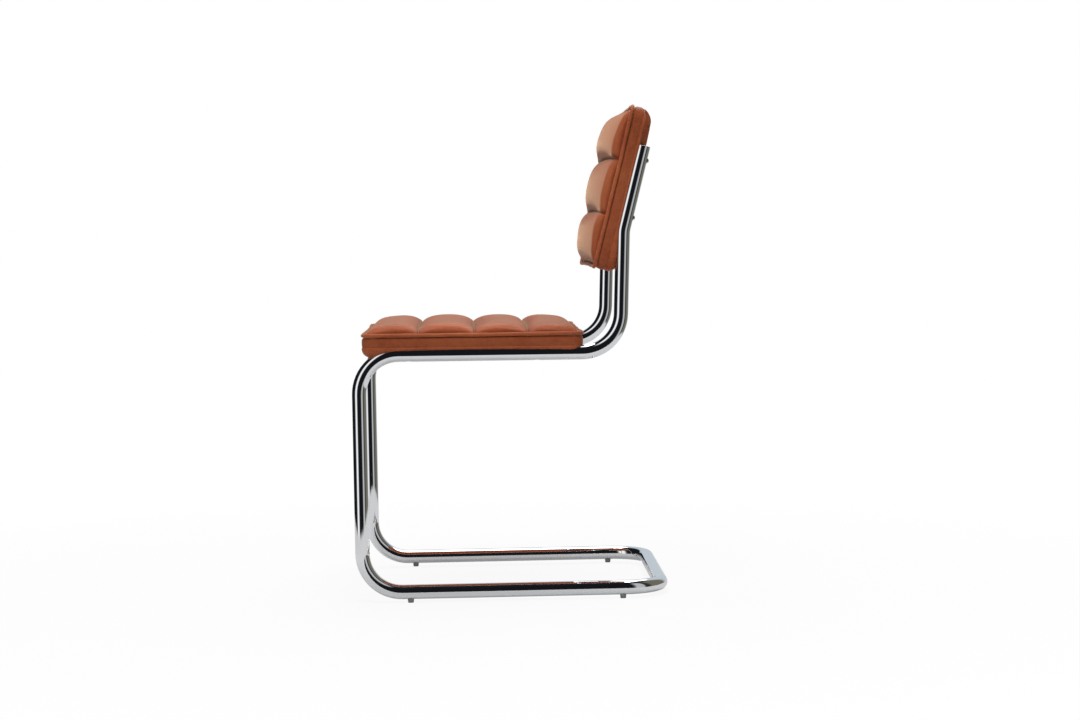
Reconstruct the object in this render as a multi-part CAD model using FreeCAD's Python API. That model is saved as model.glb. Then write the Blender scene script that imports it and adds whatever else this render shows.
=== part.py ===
import FreeCAD, Part
import math
import os

# Cantilever side chair: a bent steel tube frame that carries a channelled
# leather seat pad and back pad. Millimetres and degrees. +Z is up, the sitter
# faces -Y, and the origin is on the floor, in the middle of the frame.

# Tube frame, measured on centre lines
TUBE_DIAMETER = 25.0
TUBE_WALL = 2.0
FRAME_WIDTH = 450.0
FRAME_DEPTH = 517.0
RAIL_HEIGHT = 427.5
RAIL_FALL = 2.0
RAIL_LENGTH = 448.5
UPRIGHT_LEAN = 2.1
LUMBAR_HEIGHT = 633.0
BACK_LEAN = 14.5
BACK_TUBE_LENGTH = 147.0
BEND_RADIUS = 67.5
LUMBAR_BEND_RADIUS = 50.0

# Sleeve inside the rear floor bar, end caps and floor glides
SLEEVE_LENGTH = 120.0
SLEEVE_WALL = 2.0
CAP_RIM = 2.0
CAP_PLUG_LENGTH = 14.0
CAP_PLUG_WALL = 1.8
GLIDE_HEIGHT = 6.0
GLIDE_DIAMETER = 11.5
GLIDE_TAPER = 1.0
GLIDE_SADDLE = 2.0
GLIDE_STEM_DIAMETER = 7.0
GLIDE_STEM_LENGTH = 5.0
GLIDE_BARB = 0.6
FRONT_GLIDE_INSET = 81.5
REAR_GLIDE_INSET = 69.5

# Pads: both are as wide, and hold the same layers. Their sides stand a little in
# from the outside of the tubes.
PAD_SETBACK = 1.0
CORNER_RADIUS = 20.0
INNER_CORNER_RADIUS = 5.0
SIDE_DRAW_IN = 2.0
LEATHER = 1.2
BOARD_THICKNESS = 10.0
BOXING_HEIGHT = 19.0
SEAM_DROP = 1.5
PIPING_DIAMETER = 6.0
PIPING_INSET = 1.0
UNDER_DEPTH = 14.5
EDGE_ROLL = 14.0
UNDER_CROWN = 3.0
UNDER_CROWN_INSET = 60.0
END_ROLL = 34.0
END_STEPS = 4
END_FULLNESS = 0.12
CHANNEL_SHOULDER = 7.0
EDGE_SHOULDER = 16.0
END_CREST_PLACE = 0.58
SHOULDER_SHARE = 0.75
CROSS_CROWN = 1.5

# Seat pad
SEAT_LENGTH = 378.0
SEAT_SETBACK = 6.5
SEAT_CHANNELS = 4
SEAT_CREST = 18.5
SEAT_REAR_CREST = 15.5
SEAT_VALLEY = 6.5
SEAT_SCREW_SPACING = 220.0

# Back pad
BACK_LENGTH = 283.5
BACK_DROP = 72.5
BACK_CHANNELS = 3
BACK_CREST = 23.5
BACK_LOW_CREST = 22.0
BACK_VALLEY = 8.0
BACK_SEAM_RISE = 4.0
BACK_SCREW_SPACING = 100.0
BACK_FIRST_SCREW = 25.0

# Screws and threaded inserts
SCREW_DIAMETER = 5.0
SCREW_HEAD_DIAMETER = 9.5
SCREW_HEAD_HEIGHT = 3.0
HEX_KEY = 3.0
HEX_DEPTH = 1.8
INSERT_DIAMETER = 8.0
INSERT_FLANGE_DIAMETER = 12.0
INSERT_FLANGE = 1.2

# Clearances
SLIDE_CLEARANCE = 0.2
FIT_CLEARANCE = 0.1
SEAT_ON_TUBE_CLEARANCE = 0.3
HOLE_CLEARANCE = 0.5
NEST_OVERRUN = 3.0

# Values that follow from the driving dimensions
TUBE_RADIUS = TUBE_DIAMETER / 2
BORE_RADIUS = TUBE_RADIUS - TUBE_WALL
SIDE_X = FRAME_WIDTH / 2
FRONT_Y = -FRAME_DEPTH / 2
REAR_Y = FRAME_DEPTH / 2
RUNNER_Z = GLIDE_HEIGHT + TUBE_RADIUS

# Plan of the pads
PAD_WIDTH = FRAME_WIDTH + TUBE_DIAMETER - 2 * PAD_SETBACK

# Levels across a pad, measured from the tubes' centre lines towards the sitter
NEST_RADIUS = TUBE_RADIUS + SEAT_ON_TUBE_CLEARANCE
BOARD_BACK = NEST_RADIUS + LEATHER + FIT_CLEARANCE
BOARD_FRONT = BOARD_BACK + BOARD_THICKNESS
SEAM_LEVEL = TUBE_RADIUS - SEAM_DROP
PIPING_RADIUS = PIPING_DIAMETER / 2
PIPING_LEVEL = SEAM_LEVEL + BOXING_HEIGHT + PIPING_RADIUS
UNDER_LEVEL = SEAM_LEVEL - UNDER_DEPTH
COVER_INSET = PIPING_INSET + PIPING_RADIUS
FILLING_GAP = LEATHER + SLIDE_CLEARANCE
SEAM_LAP = 5.0

# Under the head of a screw, measured as the levels above: behind the tube for the
# back pad, and against the bore's far wall for the seat pad
HEAD_BEHIND_TUBE = -TUBE_RADIUS
HEAD_IN_TUBE = math.sqrt(BORE_RADIUS ** 2 - (SCREW_HEAD_DIAMETER / 2) ** 2)

SIDES = {"left": 1, "right": -1}
UP = FreeCAD.Vector(0, 0, 1)
ALONG = FreeCAD.Vector(0, 1, 0)
ACROSS = FreeCAD.Vector(1, 0, 0)


def unit(vector):
    """The vector at length one."""
    return vector * (1 / vector.Length)


def lumbar_point(side=0):
    """Corner of the lumbar bend, on the centre line of one side."""
    rear_corner = rail_end(side)
    rise = LUMBAR_HEIGHT - rear_corner.z
    run = rise * math.tan(math.radians(UPRIGHT_LEAN))
    return rear_corner + FreeCAD.Vector(0, run, rise)


def rail_end(side=0):
    """Corner where the seat rail turns up into the upright."""
    return FreeCAD.Vector(side * SIDE_X, FRONT_Y + RAIL_LENGTH, RAIL_HEIGHT - RAIL_FALL)


def back_direction():
    """Direction of the tubes that carry the back pad, upwards."""
    lean = math.radians(BACK_LEAN)
    return FreeCAD.Vector(0, math.sin(lean), math.cos(lean))


def side_corners(side, extra=0.0):
    """Corners of one half of the frame, from the tube's top end to the middle of
    the rear floor bar, with the radius of each bend."""
    lumbar = lumbar_point(side)
    top = lumbar + back_direction() * (BACK_TUBE_LENGTH + extra)
    front_top = FreeCAD.Vector(side * SIDE_X, FRONT_Y, RAIL_HEIGHT)
    front_foot = FreeCAD.Vector(side * SIDE_X, FRONT_Y, RUNNER_Z)
    rear_foot = FreeCAD.Vector(side * SIDE_X, REAR_Y, RUNNER_Z)
    bar_middle = FreeCAD.Vector(0, REAR_Y, RUNNER_Z)
    corners = [top, lumbar, rail_end(side), front_top, front_foot, rear_foot, bar_middle]
    radii = [LUMBAR_BEND_RADIUS] + [BEND_RADIUS] * 4
    return corners, radii


def bent_path(corners, radii):
    """Straight runs joined by tangent arcs."""
    edges = []
    start = corners[0]
    for before, corner, after, radius in zip(corners, corners[1:], corners[2:], radii):
        to_start = unit(before - corner)
        to_end = unit(after - corner)
        half_angle = to_start.getAngle(to_end) / 2
        setback = radius / math.tan(half_angle)
        bisector = unit(to_start + to_end)
        centre = corner + bisector * (radius / math.sin(half_angle))
        arc_start = corner + to_start * setback
        arc_end = corner + to_end * setback
        edges.append(Part.LineSegment(start, arc_start).toShape())
        edges.append(Part.Arc(arc_start, centre - bisector * radius, arc_end).toShape())
        start = arc_end
    edges.append(Part.LineSegment(start, corners[-1]).toShape())
    return Part.Wire(edges)


def round_bar(path, radius):
    """A solid round bar along a path."""
    start = path.Edges[0]
    direction = start.tangentAt(start.FirstParameter)
    circle = Part.makeCircle(radius, start.Vertexes[0].Point, direction)
    return path.makePipeShell([Part.Wire(circle)], True, False)


def cylinder(radius, length, base, direction):
    """A round bar or hole from a base point along a direction."""
    return Part.makeCylinder(radius, length, base, direction)


def screw_axes(pad):
    """Where each screw of a pad crosses the centre line of its tube, with the
    direction in which it is driven."""
    axes = []
    for side in SIDES.values():
        for along in pad["screws"]:
            foot = pad["place"].multVec(FreeCAD.Vector(side * SIDE_X, along, 0))
            axes.append((foot, pad["drive"]))
    return axes


def glide_points(side):
    """Centres of the two glides of one side, on the floor."""
    front = FreeCAD.Vector(side * SIDE_X, FRONT_Y + FRONT_GLIDE_INSET, 0)
    rear = FreeCAD.Vector(side * SIDE_X, REAR_Y - REAR_GLIDE_INSET, 0)
    return {"front": front, "rear": rear}


def seat_pad():
    """The measures of the seat pad. A pad's own frame has X across the chair, Y
    along the pad and Z towards the sitter, with Z = 0 on the tubes' centre lines."""
    fall = math.degrees(math.atan2(RAIL_FALL, RAIL_LENGTH))
    along = SEAT_SETBACK + SEAT_LENGTH / 2
    height = RAIL_HEIGHT - RAIL_FALL * along / RAIL_LENGTH
    return {
        "place": FreeCAD.Placement(FreeCAD.Vector(0, FRONT_Y + along, height), tilted(-fall)),
        "drive": tilted(-fall).multVec(UP),
        "length": SEAT_LENGTH,
        "channels": SEAT_CHANNELS,
        "crests": [SEAT_CREST] * (SEAT_CHANNELS - 1) + [SEAT_REAR_CREST],
        "valley": SEAT_VALLEY,
        "seam_shift": 0,
        "screws": [-SEAT_SCREW_SPACING / 2, SEAT_SCREW_SPACING / 2],
        "head_level": HEAD_IN_TUBE,
    }


def back_pad():
    """The measures of the back pad."""
    middle = BACK_LENGTH / 2 - BACK_DROP
    first = BACK_FIRST_SCREW - middle
    return {
        "place": FreeCAD.Placement(lumbar_point() + back_direction() * middle, tilted(90 - BACK_LEAN)),
        "drive": tilted(90 - BACK_LEAN).multVec(UP),
        "length": BACK_LENGTH,
        "channels": BACK_CHANNELS,
        "crests": [BACK_LOW_CREST] + [BACK_CREST] * (BACK_CHANNELS - 1),
        "valley": BACK_VALLEY,
        "seam_shift": BACK_SEAM_RISE,
        "screws": [first, first + BACK_SCREW_SPACING],
        "head_level": HEAD_BEHIND_TUBE,
    }


def tilted(angle):
    """Turn about the axis across the chair."""
    return FreeCAD.Rotation(ACROSS, angle)


def corner_radius(inset):
    """Radius of a pad's corners in plan, at one inset."""
    return max(CORNER_RADIUS - inset, INNER_CORNER_RADIUS)


def outline(pad, inset, level):
    """Plan of a pad at one level: four round corners, and sides that pull in
    between them, all tangent."""
    half_width = PAD_WIDTH / 2 - inset
    half_length = pad["length"] / 2 - inset
    radius = corner_radius(inset)
    corner_x = half_width - radius
    corner_y = half_length - radius
    draw = SIDE_DRAW_IN

    def side_centre(half_side, run):
        reach = (draw ** 2 + run ** 2) / (2 * draw)
        return half_side - draw + reach - radius

    across = FreeCAD.Vector(side_centre(half_width, corner_y), 0, level)
    along = FreeCAD.Vector(0, side_centre(half_length, corner_x), level)
    edges = []
    for sign_x, sign_y in ((1, 1), (-1, 1), (-1, -1), (1, -1)):
        corner = FreeCAD.Vector(sign_x * corner_x, sign_y * corner_y, level)
        to_side = unit(FreeCAD.Vector(sign_x * across.x, 0, level) - corner)
        to_end = unit(FreeCAD.Vector(0, sign_y * along.y, level) - corner)
        on_side = corner + to_side * radius
        on_end = corner + to_end * radius
        outward = unit(to_side + to_end)
        edges.append(Part.Arc(on_side, corner + outward * radius, on_end).toShape())
        if sign_x == sign_y:
            middle = FreeCAD.Vector(0, sign_y * (half_length - draw), level)
            mirrored = FreeCAD.Vector(-on_end.x, on_end.y, level)
            edges.append(Part.Arc(on_end, middle, mirrored).toShape())
        else:
            middle = FreeCAD.Vector(sign_x * (half_width - draw), 0, level)
            mirrored = FreeCAD.Vector(on_side.x, -on_side.y, level)
            edges.append(Part.Arc(on_side, middle, mirrored).toShape())
    return Part.Wire(Part.__sortEdges__(edges))


def slab(pad, inset, bottom, top):
    """The plan of a pad, raised between two levels."""
    face = Part.Face(outline(pad, inset, bottom))
    return face.extrude(FreeCAD.Vector(0, 0, top - bottom))


def half_arch(run, rise, shoulder):
    """Four points of a half arch, from its foot to its crest at the origin's
    height: the shoulder's bulge, where it meets the crown, and the crown's middle."""
    shoulder = min(shoulder, SHOULDER_SHARE * rise)
    crown = (run ** 2 + rise ** 2 - 2 * run * shoulder) / (2 * (rise - shoulder))
    angle = math.atan2(crown - rise, run - shoulder)
    steep = (angle + math.pi / 2) / 2
    bulge = (run - shoulder + shoulder * math.cos(angle / 2), shoulder * math.sin(angle / 2))
    tangent = (run - shoulder + shoulder * math.cos(angle), shoulder * math.sin(angle))
    middle = (crown * math.cos(steep), rise - crown + crown * math.sin(steep))
    return [(run, 0), bulge, tangent, middle, (0, rise)]


def arch(start, end, crest_place, rise, shoulders, x):
    """A channel's section over the chord from start to end, as four tangent arcs."""
    length = math.hypot(end[0] - start[0], end[1] - start[1])
    along = ((end[0] - start[0]) / length, (end[1] - start[1]) / length)
    run = crest_place * length
    first = [(run - u, v) for u, v in half_arch(run, rise, shoulders[0])]
    second = [(run + u, v) for u, v in half_arch(length - run, rise, shoulders[1])]
    profile = first + second[-2::-1]

    def point(u, v):
        y = start[0] + along[0] * u - along[1] * v
        z = start[1] + along[1] * u + along[0] * v
        return FreeCAD.Vector(x, y, z)

    points = [point(u, v) for u, v in profile]
    return [Part.Arc(*points[i:i + 3]).toShape() for i in range(0, len(points) - 1, 2)]


def face_reach(pad, x, inset):
    """Half the length of the channelled face at one place x: drawn in between the
    corners, and rounded off at them."""
    radius = corner_radius(COVER_INSET + inset)
    to_end = PAD_WIDTH / 2 - COVER_INSET - inset - abs(x)
    past = max(radius - to_end, 0)
    rounding = radius - math.sqrt(radius ** 2 - min(past, radius) ** 2)
    draw = SIDE_DRAW_IN * (1 - (2 * x / PAD_WIDTH) ** 2)
    return pad["length"] / 2 - COVER_INSET - inset - draw - rounding


def face_section(pad, x, fullness, inset, bottom):
    """Section across the channels at one place x. Fullness runs from 1 in the
    middle of the pad to nearly 0 at its ends."""
    half = face_reach(pad, x, inset)
    channels = pad["channels"]
    pitch = pad["length"] / channels
    foot = PIPING_LEVEL
    valley = foot + (pad["valley"] - inset) * fullness
    first_seam = pitch * (1 - channels / 2) + pad["seam_shift"]
    seams = [(-half, foot)]
    seams += [(first_seam + pitch * i, valley) for i in range(channels - 1)]
    seams += [(half, foot)]
    shoulders = [EDGE_SHOULDER] + [CHANNEL_SHOULDER] * (channels - 1) + [EDGE_SHOULDER]
    crest_places = [END_CREST_PLACE] + [0.5] * (channels - 2) + [1 - END_CREST_PLACE]
    crown_here = CROSS_CROWN * (1 - (2 * x / PAD_WIDTH) ** 2)
    edges = []
    for i, (start, end) in enumerate(zip(seams, seams[1:])):
        crest = foot + (pad["crests"][i] + crown_here - inset) * fullness
        rise = crest - (start[1] + end[1]) / 2
        edges += arch(start, end, crest_places[i], rise, shoulders[i:i + 2], x)
    corners = [(half, foot), (half, bottom), (-half, bottom), (-half, foot)]
    points = [FreeCAD.Vector(x, y, z) for y, z in corners]
    edges += [Part.LineSegment(a, b).toShape() for a, b in zip(points, points[1:])]
    return Part.Wire(edges)


def channelled_face(pad, inset, bottom):
    """The channelled face of a pad as a solid, down to the bottom level. Inset
    takes off the thickness of what lies over it."""
    half_width = PAD_WIDTH / 2 - COVER_INSET - inset
    roll = END_ROLL - COVER_INSET - inset
    inner = half_width - roll
    turns = [math.pi / 2 * step / END_STEPS for step in range(END_STEPS + 1)]
    places = [(inner + roll * math.cos(turn), max(math.sin(turn), END_FULLNESS)) for turn in turns]
    right = places + [(inner / 2, 1.0)]
    left = [(-x, fullness) for x, fullness in reversed(right)]
    sections = [face_section(pad, x, fullness, inset, bottom)
                for x, fullness in right + [(0.0, 1.0)] + left]
    return Part.makeLoft(sections, True, False)


def frame_tube(side, pads):
    """One half of the frame, bent from one length of tube, with the holes for
    the pads' screws and the glides' stems."""
    path = bent_path(*side_corners(side))
    tube = round_bar(path, TUBE_RADIUS).cut(round_bar(path, BORE_RADIUS))
    shank_radius = (SCREW_DIAMETER + HOLE_CLEARANCE) / 2
    access_radius = (SCREW_HEAD_DIAMETER + HOLE_CLEARANCE) / 2
    for pad in pads:
        for foot, drive in screw_axes(pad):
            back = foot - drive * TUBE_RADIUS
            tube = tube.cut(cylinder(shank_radius, TUBE_DIAMETER, back, drive))
            if pad["head_level"] > 0:
                tube = tube.cut(cylinder(access_radius, TUBE_RADIUS, back, drive))
    for floor_point in glide_points(side).values():
        hole = cylinder(GLIDE_STEM_DIAMETER / 2 + SLIDE_CLEARANCE, RUNNER_Z, floor_point, UP)
        tube = tube.cut(hole)
    return tube


def joint_sleeve():
    """Tube that joins the two halves, inside the middle of the rear floor bar."""
    start = FreeCAD.Vector(-SLEEVE_LENGTH / 2, REAR_Y, RUNNER_Z)
    radius = BORE_RADIUS - FIT_CLEARANCE
    sleeve = cylinder(radius, SLEEVE_LENGTH, start, ACROSS)
    return sleeve.cut(cylinder(radius - SLEEVE_WALL, SLEEVE_LENGTH, start, ACROSS))


def tube_cap(side):
    """Flush plug in the open top end of one upright."""
    lumbar = lumbar_point(side)
    direction = back_direction()
    end = lumbar + direction * BACK_TUBE_LENGTH
    rim = cylinder(TUBE_RADIUS, CAP_RIM, end, direction)
    top_edge = [edge for edge in rim.Edges if (edge.CenterOfMass - end).Length > CAP_RIM / 2
                and edge.Closed]
    rim = rim.makeFillet(CAP_RIM / 2, top_edge)
    radius = BORE_RADIUS - FIT_CLEARANCE
    start = end - direction * CAP_PLUG_LENGTH
    plug = cylinder(radius, CAP_PLUG_LENGTH, start, direction)
    plug = plug.cut(cylinder(radius - CAP_PLUG_WALL, CAP_PLUG_LENGTH, start, direction))
    return rim.fuse(plug).removeSplitter()


def glide(floor_point):
    """Floor glide: a tapered foot with a saddle for the tube, and a stem with a
    barb that holds inside the tube."""
    top_radius = GLIDE_DIAMETER / 2
    height = GLIDE_HEIGHT + GLIDE_SADDLE
    foot = Part.makeCone(top_radius - GLIDE_TAPER, top_radius, height, floor_point)
    start = FreeCAD.Vector(floor_point.x, floor_point.y - GLIDE_DIAMETER, RUNNER_Z)
    foot = foot.cut(cylinder(TUBE_RADIUS, 2 * GLIDE_DIAMETER, start, ALONG))
    stem_radius = GLIDE_STEM_DIAMETER / 2
    stem_start = floor_point + UP * (GLIDE_HEIGHT / 2)
    stem_top = GLIDE_HEIGHT + TUBE_WALL + GLIDE_STEM_LENGTH
    stem = cylinder(stem_radius, stem_top - GLIDE_HEIGHT / 2, stem_start, UP)
    barb_base = floor_point + UP * (GLIDE_HEIGHT + TUBE_WALL + GLIDE_STEM_LENGTH / 2)
    barb = Part.makeCone(stem_radius + GLIDE_BARB, stem_radius, GLIDE_STEM_LENGTH / 2, barb_base)
    return foot.fuse(stem).fuse(barb).removeSplitter()


def board(pad):
    """Plywood board that carries the pad's filling and threaded inserts."""
    plate = slab(pad, FILLING_GAP, BOARD_BACK, BOARD_FRONT)
    plate.Placement = pad["place"]
    for foot, drive in screw_axes(pad):
        plate = plate.cut(insert_body(foot, drive))
    return plate


def foam(pad):
    """Channelled foam in front of the board."""
    block = channelled_face(pad, FILLING_GAP, BOARD_FRONT)
    block.Placement = pad["place"]
    return block


def front_cover(pad):
    """Channelled leather cover, open at its foot."""
    low = PIPING_LEVEL - PIPING_RADIUS
    cover = channelled_face(pad, 0, low).cut(channelled_face(pad, LEATHER, low - LEATHER))
    cover.Placement = pad["place"]
    return cover


def boxing(pad):
    """Leather strip round the pad's sides."""
    strip = slab(pad, 0, SEAM_LEVEL, SEAM_LEVEL + BOXING_HEIGHT)
    strip = strip.cut(slab(pad, LEATHER, SEAM_LEVEL, SEAM_LEVEL + BOXING_HEIGHT))
    strip.Placement = pad["place"]
    return strip


def piping(pad):
    """Round piping in the seam between the boxing and the channelled cover."""
    path = outline(pad, PIPING_INSET, PIPING_LEVEL)
    bead = round_bar(path, PIPING_RADIUS)
    bead.Placement = pad["place"]
    return bead


def under_form(pad, inset, top, nest_radius):
    """The pad behind the board: rolled edges, a shallow crown, an edge turned in
    under the boxing, and a groove where it nests on each tube."""
    level = UNDER_LEVEL + inset
    form = slab(pad, inset, level, SEAM_LEVEL)
    low_edges = [edge for edge in form.Edges if edge.BoundBox.ZMax < level + FIT_CLEARANCE]
    form = form.makeFillet(EDGE_ROLL - inset, low_edges)
    if inset > 0:
        form = form.cut(slab(pad, 0, SEAM_LEVEL - inset, SEAM_LEVEL))
    form = form.fuse(slab(pad, inset + LEATHER, SEAM_LEVEL - SEAM_LAP, top))
    crown_foot = outline(pad, EDGE_ROLL + LEATHER + inset, level)
    crown_top = outline(pad, UNDER_CROWN_INSET, level - UNDER_CROWN)
    form = form.fuse(Part.makeLoft([crown_foot, crown_top], True, True))
    form.Placement = pad["place"]
    for side in SIDES.values():
        path = bent_path(*side_corners(side, CAP_RIM + NEST_OVERRUN))
        form = form.cut(round_bar(path, nest_radius))
    return form


def under_cover(pad):
    """Leather cover over the back of the pad and round its tubes."""
    outside = under_form(pad, 0, BOARD_BACK, NEST_RADIUS)
    inside = under_form(pad, LEATHER, BOARD_BACK + LEATHER, NEST_RADIUS + LEATHER)
    cover = outside.cut(inside)
    radius = (SCREW_DIAMETER + HOLE_CLEARANCE) / 2
    for foot, drive in screw_axes(pad):
        cover = cover.cut(cylinder(radius, BOARD_BACK, foot, drive))
    return cover


def under_padding(pad):
    """Wadding behind the board, between the tubes."""
    form = under_form(pad, FILLING_GAP, BOARD_BACK, BOARD_BACK + SLIDE_CLEARANCE)
    reach = 2 * pad["length"]
    middle = pad["place"].Base
    corner = FreeCAD.Vector(-SIDE_X, middle.y - reach / 2, middle.z - reach / 2)
    return form.common(Part.makeBox(FRAME_WIDTH, reach, reach, corner))


def insert_body(foot, drive):
    """Outside of one insert: a barrel through the board, and a flange let into
    its front."""
    barrel = cylinder(INSERT_DIAMETER / 2, BOARD_THICKNESS, foot + drive * BOARD_BACK, drive)
    seat = foot + drive * (BOARD_FRONT - INSERT_FLANGE)
    flange = cylinder(INSERT_FLANGE_DIAMETER / 2, INSERT_FLANGE, seat, drive)
    return barrel.fuse(flange).removeSplitter()


def threaded_inserts(pad):
    """Flanged inserts in the board, one for each screw."""
    solids = []
    for foot, drive in screw_axes(pad):
        start = foot + drive * BOARD_BACK
        bore = cylinder(SCREW_DIAMETER / 2 + FIT_CLEARANCE, BOARD_THICKNESS, start, drive)
        solids.append(insert_body(foot, drive).cut(bore))
    return Part.makeCompound(solids)


def screws(pad):
    """Domed socket screws, driven through the tubes into the inserts."""
    solids = []
    for foot, drive in screw_axes(pad):
        under_head = foot + drive * pad["head_level"]
        shank_length = BOARD_FRONT - pad["head_level"]
        shank = cylinder(SCREW_DIAMETER / 2, shank_length, under_head, drive)
        half = SCREW_HEAD_DIAMETER / 2
        dome = (half ** 2 + SCREW_HEAD_HEIGHT ** 2) / (2 * SCREW_HEAD_HEIGHT)
        centre = under_head + drive * (dome - SCREW_HEAD_HEIGHT)
        head_base = under_head - drive * SCREW_HEAD_HEIGHT
        head = Part.makeSphere(dome, centre)
        head = head.common(cylinder(half, SCREW_HEAD_HEIGHT, head_base, drive))
        key = Part.makePolygon([hex_point(head_base, drive, i) for i in range(7)])
        head = head.cut(Part.Face(key).extrude(drive * HEX_DEPTH))
        solids.append(head.fuse(shank).removeSplitter())
    return Part.makeCompound(solids)


def hex_point(centre, drive, corner):
    """One corner of a screw's hexagonal socket."""
    reach = HEX_KEY / math.sqrt(3)
    turn = FreeCAD.Rotation(drive, 60 * corner)
    return centre + turn.multVec(ACROSS) * reach


def pad_pieces(name, front_name, under_name, pad):
    """Every piece of one pad, by node name."""
    return {
        name + "_board": board(pad),
        name + "_foam": foam(pad),
        name + "_padding": under_padding(pad),
        name + "_" + front_name: front_cover(pad),
        name + "_boxing": boxing(pad),
        name + "_piping": piping(pad),
        name + "_" + under_name: under_cover(pad),
        name + "_threaded_inserts": threaded_inserts(pad),
        name + "_screws": screws(pad),
    }


def main():
    seat = seat_pad()
    back = back_pad()
    pieces = {"frame_joint_sleeve": joint_sleeve()}
    for name, side in SIDES.items():
        pieces["frame_tube_" + name] = frame_tube(side, [seat, back])
        pieces["tube_cap_" + name] = tube_cap(side)
        for end, floor_point in glide_points(side).items():
            pieces["glide_" + end + "_" + name] = glide(floor_point)
    pieces.update(pad_pieces("seat", "top_cover", "under_cover", seat))
    pieces.update(pad_pieces("back", "front_cover", "rear_cover", back))

    os.makedirs("parts", exist_ok=True)
    for node, shape in pieces.items():
        shape.exportStep("parts/" + node + ".step")
        print(node, len(shape.Solids), "valid" if shape.isValid() else "INVALID", round(shape.Volume))


main()
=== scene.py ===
import math
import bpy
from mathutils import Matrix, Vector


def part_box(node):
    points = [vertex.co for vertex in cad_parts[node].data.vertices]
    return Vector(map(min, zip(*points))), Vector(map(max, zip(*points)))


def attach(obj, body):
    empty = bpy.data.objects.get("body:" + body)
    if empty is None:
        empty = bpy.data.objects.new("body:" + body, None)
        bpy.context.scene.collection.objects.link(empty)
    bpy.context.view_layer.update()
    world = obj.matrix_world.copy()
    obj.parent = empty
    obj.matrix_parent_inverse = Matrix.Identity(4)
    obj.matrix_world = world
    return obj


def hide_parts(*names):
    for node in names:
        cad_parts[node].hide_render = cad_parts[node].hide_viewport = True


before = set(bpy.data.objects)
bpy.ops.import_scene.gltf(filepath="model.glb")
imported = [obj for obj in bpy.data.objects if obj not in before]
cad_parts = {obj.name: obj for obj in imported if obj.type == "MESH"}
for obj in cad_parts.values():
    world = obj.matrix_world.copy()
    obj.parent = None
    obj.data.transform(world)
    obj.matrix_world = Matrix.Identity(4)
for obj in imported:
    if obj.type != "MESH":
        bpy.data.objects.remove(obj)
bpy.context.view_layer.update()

from types import SimpleNamespace

import bmesh
import bpy
from bpy.props import FloatProperty, FloatVectorProperty, PointerProperty
from mathutils import Matrix, Vector, noise

bl_info = {
    "name": "Cantilever Chair Upholstery and Finish",
    "version": (1, 0, 0),
    "blender": (4, 5, 0),
    "location": "3D View > Sidebar > Chair",
    "description": "Upholsters the pads of a bent tube chair and finishes its frame",
    "category": "Object",
}

MM = 0.001
BODY = "root"
SIDES = ("left", "right")

# Lengths in millimetres: the tube, the side strip's lower seam below the tube's
# top, the leather folded in past a seam, and how far the strip's top turns in
TUBE_RADIUS = 12.5
SEAM_DROP = 1.5
SEAM_ALLOWANCE = 2.0
STRIP_TURN = 4.0
# Inset and height above the strip's lower seam where the under cover is tucked in
UNDER_TUCK = ((1.2, 0.6), (0.1, -0.1))
# The under cover's rings: insets of the first one, and of the last from the middle
UNDER_FIRST, UNDER_LAST, UNDER_STEP = 16, 4, 3
# The piping's slow wave and its pull at a sewn valley: length and share of the waver
WAVE_LENGTH, WAVE_SHARE = 55.0, 1.6
PULL_LENGTH, PULL_SHARE = 9.0, 0.8
# The piping's uneven thickness: length and share of its radius
UNEVEN_LENGTH, UNEVEN_SHARE = 14.0, 0.08

# Counts of points along a curve
ARC_STEPS, SIDE_STEPS = 12, 60
CHANNEL_STEPS, FACE_SECTIONS = 22, 110
STRIP_STEPS, ROLL_STEPS, PIPING_STEPS = 14, 12, 16
# How evenly points are spread along a side, a channel and a face: 1 is evenly
SIDE_EVEN, CHANNEL_EVEN, FACE_EVEN = 0.45, 0.35, 0.3

# Shape of the channels: where an end channel's crest lies, as a share from its outer
# end; the largest share of a rise that its shoulder takes; the least rise
END_CREST = 0.48
SHOULDER_SHARE = 0.85
LEAST_RISE = 0.01
# How late a valley's sag and the side strip's turn set in: more is later
SAG_POWER, TURN_POWER = 4, 7

# The cloth that stands in for leather over stuffing
STUFFING_FRAMES = 20
STUFFING_PRESSURE = 12.0
CLOTH = {"quality": 6, "mass": 0.25, "tension_stiffness": 25, "compression_stiffness": 25,
         "shear_stiffness": 12, "bending_stiffness": 4}

# Light and dark tones of the plain materials
ZINC = ((0.55, 0.55, 0.53), (0.42, 0.42, 0.42))
YELLOW_ZINC = ((0.60, 0.58, 0.50), (0.45, 0.43, 0.38))
BIRCH = ((0.60, 0.43, 0.26), (0.46, 0.30, 0.16))
# Colour multiplied into the leather next to a seam: painted shade for the sewn creases
PAINTED_SEAM_SHADE = (0.45, 0.30, 0.26)

# Stage: what the lamps point at, the middle of the lit floor, the camera's sensor
LAMP_AIM = (0, 0, 0.45)
LIT_MIDDLE = (0, -0.13, 0)
SENSOR_WIDTH = 36.0

# Tall bands of the studio round the chair, which metal mirrors: direction in
# degrees, from the sitter's left (0) towards the rear (90), and the light there
WHITE = (1.0, 1.0, 1.0)
DIM = (0.12, 0.12, 0.12)
SHADE = (0.03, 0.03, 0.03)
DARK = (0.008, 0.009, 0.011)
OVERHEAD_DARK = (0.012, 0.013, 0.015)
OLIVE = (0.17, 0.155, 0.12)
PALE_BLUE = (0.56, 0.62, 0.67)
STUDIO_BANDS = (
    (-180, PALE_BLUE), (-160, PALE_BLUE), (-150, DARK), (-76, DARK), (-68, (0.12, 0.13, 0.14)),
    (-60, WHITE), (-40, WHITE), (-32, DIM), (-26, DARK), (24, DARK), (30, DIM),
    (36, (0.52, 0.54, 0.56)), (55, (0.5, 0.51, 0.52)), (60, SHADE), (70, SHADE), (80, OLIVE),
    (125, OLIVE), (140, PALE_BLUE), (180, PALE_BLUE))


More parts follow.
